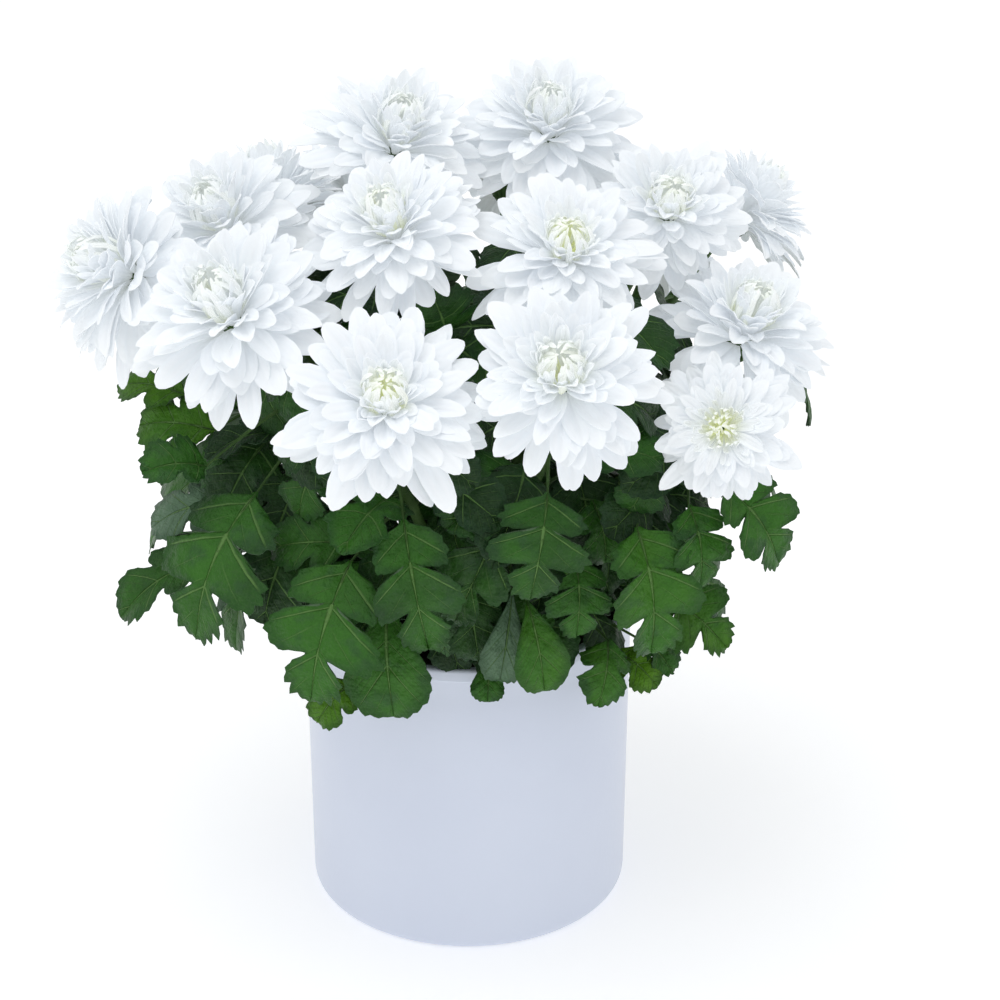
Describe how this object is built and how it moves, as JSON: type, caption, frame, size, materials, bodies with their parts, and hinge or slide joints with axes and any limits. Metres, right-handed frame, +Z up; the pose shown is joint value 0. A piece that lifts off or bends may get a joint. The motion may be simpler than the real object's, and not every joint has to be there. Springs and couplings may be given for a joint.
{
  "type": "potted chrysanthemum",
  "caption": "White potted chrysanthemum: a dome of layered white blooms over lobed green leaves, in a plain round pale pot.",
  "frame": {"origin": "centre of the pot's flat base, on the surface that the pot stands on", "axes": "+Z up along the pot's axis, -Y towards the viewer of the picture, +X to the viewer's right"},
  "size_m": [0.3714, 0.3639, 0.4188],
  "materials": {
    "pot_glaze": "satin",
    "soil_peat": "matte",
    "foliage": "satin",
    "petals": "matte"
  },
  "bodies": {
    "root": {"pot": "pot_glaze", "soil": "soil_peat", "stem_front_left": "foliage", "stem_front_right": "foliage", "stem_right_low": "foliage", "stem_right": "foliage", "stem_far_right": "foliage", "stem_upper_right": "foliage", "stem_centre_right": "foliage", "stem_centre_left": "foliage", "stem_top": "foliage", "stem_top_left": "foliage", "stem_left": "foliage", "stem_upper_left": "foliage", "stem_upper_middle": "foliage", "stem_far_left": "foliage", "stem_back_far_left": "foliage", "stem_back_left": "foliage", "stem_back": "foliage", "stem_back_right": "foliage", "bloom_front_left": "petals", "bloom_front_right": "petals", "bloom_right_low": "petals", "bloom_right": "petals", "bloom_far_right": "petals", "bloom_upper_right": "petals", "bloom_centre_right": "petals", "bloom_centre_left": "petals", "bloom_top": "petals", "bloom_top_left": "petals", "bloom_left": "petals", "bloom_upper_left": "petals", "bloom_upper_middle": "petals", "bloom_far_left": "petals", "bloom_back_far_left": "petals", "bloom_back_left": "petals", "bloom_back": "petals", "bloom_back_right": "petals"}
  },
  "joints": []
}
